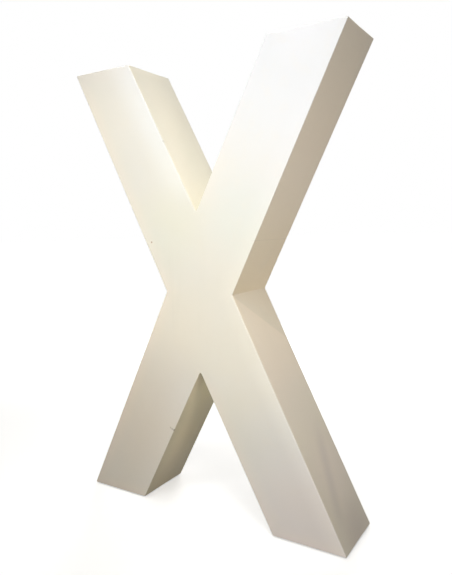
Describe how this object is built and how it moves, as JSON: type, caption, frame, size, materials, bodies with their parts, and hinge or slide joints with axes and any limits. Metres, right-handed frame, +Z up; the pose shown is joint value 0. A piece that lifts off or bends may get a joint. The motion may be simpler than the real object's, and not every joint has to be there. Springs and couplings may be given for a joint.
{
  "type": "light-up letter",
  "caption": "Free-standing light-up letter X: hollow opal shell with rounded edges, recessed screwed back panel, light bars inside, mains inlet with rocker switch and fuse drawer, foot pads.",
  "frame": {"origin": "on the floor, at the middle of the four foot pads", "axes": "+Z up; the letter's face looks along -Y and its back panel along +Y; +X is to the right as seen from the face"},
  "size_m": [0.6636, 0.145, 1.003],
  "materials": {
    "opal_shell": "satin opal",
    "panel_sheet": "fine grain",
    "seal_foam": "closed cell foam",
    "pad_rubber": "matte",
    "zinc_steel": "zinc plated",
    "brass": "turned",
    "bar_board": "solder mask",
    "clear_lens": "clear moulded plastic",
    "driver_case": "fine texture",
    "circuit": "solder mask",
    "black_plastic": "satin",
    "fuse_glass": "clear, with plated caps",
    "lead_sleeve": "matte sleeve"
  },
  "bodies": {
    "letter": {"front_shell": "opal_shell", "back_panel": "panel_sheet", "panel_gasket": "seal_foam", "foot_pad_front_left": "pad_rubber", "foot_pad_front_right": "pad_rubber", "foot_pad_back_left": "pad_rubber", "foot_pad_back_right": "pad_rubber", "panel_screw_01": "zinc_steel", "panel_screw_02": "zinc_steel", "panel_screw_03": "zinc_steel", "panel_screw_04": "zinc_steel", "panel_screw_05": "zinc_steel", "panel_screw_06": "zinc_steel", "panel_screw_07": "zinc_steel", "panel_screw_08": "zinc_steel", "panel_screw_09": "zinc_steel", "panel_screw_10": "zinc_steel", "panel_screw_11": "zinc_steel", "panel_screw_12": "zinc_steel", "hanger_plate_left": "zinc_steel", "hanger_plate_right": "zinc_steel", "driver_screw_lower": "zinc_steel", "driver_screw_upper": "zinc_steel", "inlet_screw_left": "zinc_steel", "inlet_screw_right": "zinc_steel", "panel_insert_01": "brass", "panel_insert_02": "brass", "panel_insert_03": "brass", "panel_insert_04": "brass", "panel_insert_05": "brass", "panel_insert_06": "brass", "panel_insert_07": "brass", "panel_insert_08": "brass", "panel_insert_09": "brass", "panel_insert_10": "brass", "panel_insert_11": "brass", "panel_insert_12": "brass", "inlet_pin_live": "brass", "inlet_pin_neutral": "brass", "inlet_pin_earth": "brass", "light_bar_upper_left": "bar_board", "light_bar_upper_right": "bar_board", "light_bar_lower_left": "bar_board", "light_bar_lower_right": "bar_board", "lens_strip_upper_left": "clear_lens", "lens_strip_upper_right": "clear_lens", "lens_strip_lower_left": "clear_lens", "lens_strip_lower_right": "clear_lens", "driver_base": "driver_case", "driver_cover": "driver_case", "driver_circuit": "circuit", "inlet_housing": "black_plastic", "mains_lead": "lead_sleeve", "feed_lead_left": "lead_sleeve", "feed_lead_right": "lead_sleeve", "link_lead_left": "lead_sleeve", "link_lead_right": "lead_sleeve"},
    "rocker": {"switch_rocker": "black_plastic"},
    "drawer": {"fuse_drawer": "black_plastic", "fuse": "fuse_glass"}
  },
  "joints": [
    {"name": "rocker_tilt", "type": "hinge", "parent": "letter", "child": "rocker", "pos_m": [0, 0.0613, 0.39109], "axis": [1, 0, 0], "range_deg": [0, 20]},
    {"name": "drawer_slide", "type": "slide", "parent": "letter", "child": "drawer", "axis": [0, 1, 0], "range_m": [0, 0.015]}
  ]
}
